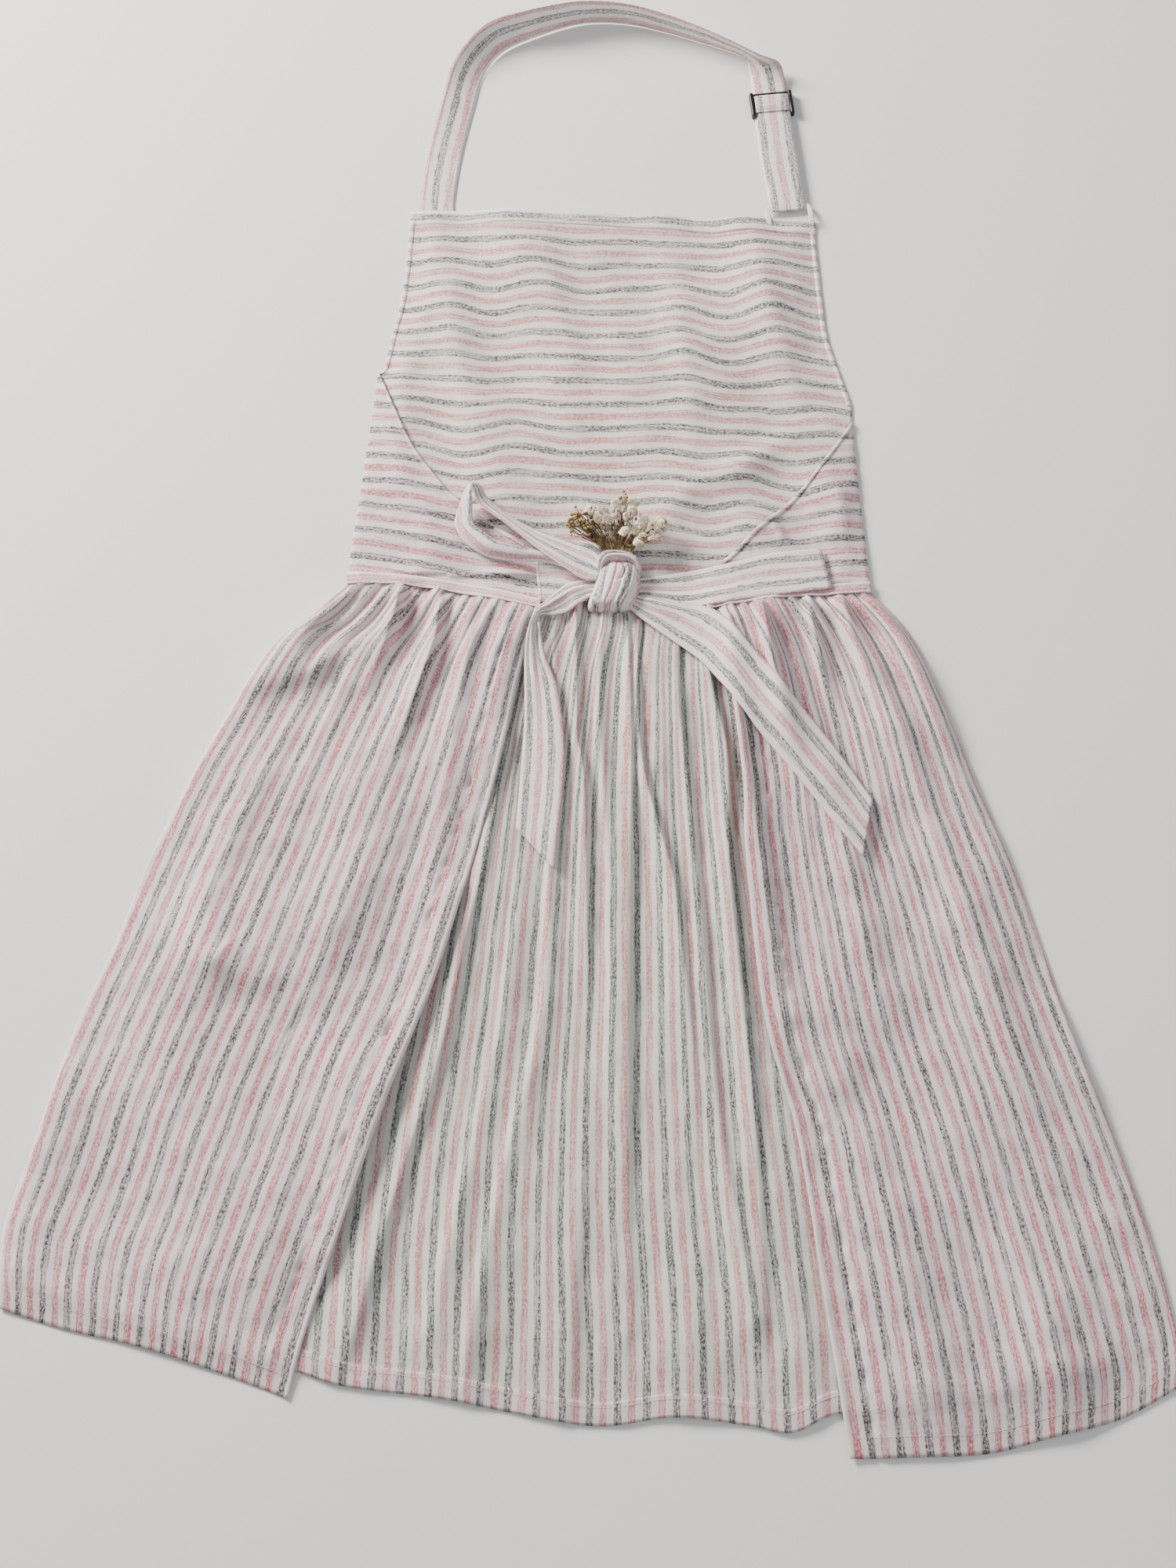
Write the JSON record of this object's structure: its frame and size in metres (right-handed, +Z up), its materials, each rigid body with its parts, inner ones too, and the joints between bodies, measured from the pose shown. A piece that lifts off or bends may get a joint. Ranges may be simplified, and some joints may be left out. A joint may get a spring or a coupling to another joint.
{
  "type": "bib apron",
  "caption": "Wrap-back bib apron laid flat: striped bib with side wings, gathered wrap skirt, adjustable neck strap with slider, half bow and a sprig of dried flowers.",
  "frame": {"origin": "centre of the bounding box in plan, on the surface that the apron lies on", "axes": "+Z up from the surface, +Y from the hem towards the neck strap, +X to the right seen from the tie side"},
  "size_m": [0.722, 1.0446, 0.0278],
  "materials": {
    "bodice_cloth": "yarn-dyed linen and cotton, stripes across",
    "skirt_cloth": "yarn-dyed linen and cotton, stripes down the skirt",
    "hem_cloth": "the same cloth turned double and topstitched",
    "seam_cloth": "the same cloth, seam allowance topstitched",
    "strap_cloth": "the same cloth folded to a stitched strap",
    "tie_cloth": "the same cloth, double and pressed",
    "slider_plastic": "moulded black acetal",
    "dried_stem": "dry thin stems",
    "dried_flower": "dry white petals",
    "dried_bud": "dry tan buds"
  },
  "bodies": {
    "apron": {"bib": "bodice_cloth", "bib_top_hem": "bodice_cloth", "bib_left_edge": "bodice_cloth", "bib_right_edge": "bodice_cloth", "front_waist_seam": "seam_cloth", "front_skirt": "skirt_cloth", "front_hem": "hem_cloth", "left_wing": "bodice_cloth", "left_wing_edge": "bodice_cloth", "left_waist_seam": "seam_cloth", "left_skirt": "skirt_cloth", "left_facing": "hem_cloth", "left_hem": "hem_cloth", "right_wing": "bodice_cloth", "right_wing_edge": "bodice_cloth", "right_waist_seam": "seam_cloth", "right_skirt": "skirt_cloth", "right_facing": "hem_cloth", "right_hem": "hem_cloth", "strap_anchor": "strap_cloth", "strap_loop": "strap_cloth", "strap_fold": "strap_cloth", "left_tie": "tie_cloth", "right_tie": "tie_cloth", "knot": "tie_cloth", "knot_wrap": "tie_cloth", "left_tail_turn": "tie_cloth"},
    "neck_strap": {"neck_strap": "strap_cloth", "strap_back_run": "strap_cloth", "strap_front_run": "strap_cloth"},
    "slider": {"slider": "slider_plastic", "strap_sewn_end": "strap_cloth"},
    "bow_loop": {"bow_loop": "tie_cloth"},
    "left_tail": {"left_tail": "tie_cloth"},
    "right_tail": {"right_tail": "tie_cloth"},
    "flower_bunch": {"flower_stems": "dried_stem", "white_flowers": "dried_flower", "flower_buds": "dried_bud"}
  },
  "joints": [
    {"name": "neck_strap_lift", "type": "hinge", "parent": "apron", "child": "neck_strap", "pos_m": [0.015, 0.3596, 0.0068], "axis": [1, 0, 0], "range_deg": [0, 170]},
    {"name": "slider_slide", "type": "slide", "parent": "neck_strap", "child": "slider", "axis": [0.1045, -0.9945, 0], "range_m": [0, 0.06]},
    {"name": "bow_loop_lift", "type": "hinge", "parent": "apron", "child": "bow_loop", "pos_m": [-0.0049, 0.0682, 0.0213], "axis": [0.4821, 0.8761, 0], "range_deg": [0, 60]},
    {"name": "left_tail_lift", "type": "hinge", "parent": "apron", "child": "left_tail", "pos_m": [-0.026, 0.026, 0.0106], "axis": [-1, 0, 0], "range_deg": [0, 80]},
    {"name": "right_tail_lift", "type": "hinge", "parent": "apron", "child": "right_tail", "pos_m": [0.041, 0.03, 0.0106], "axis": [-0.7848, -0.6198, 0], "range_deg": [0, 80]},
    {"name": "flower_slide", "type": "slide", "parent": "apron", "child": "flower_bunch", "axis": [0, 1, 0], "range_m": [0, 0.06]}
  ]
}
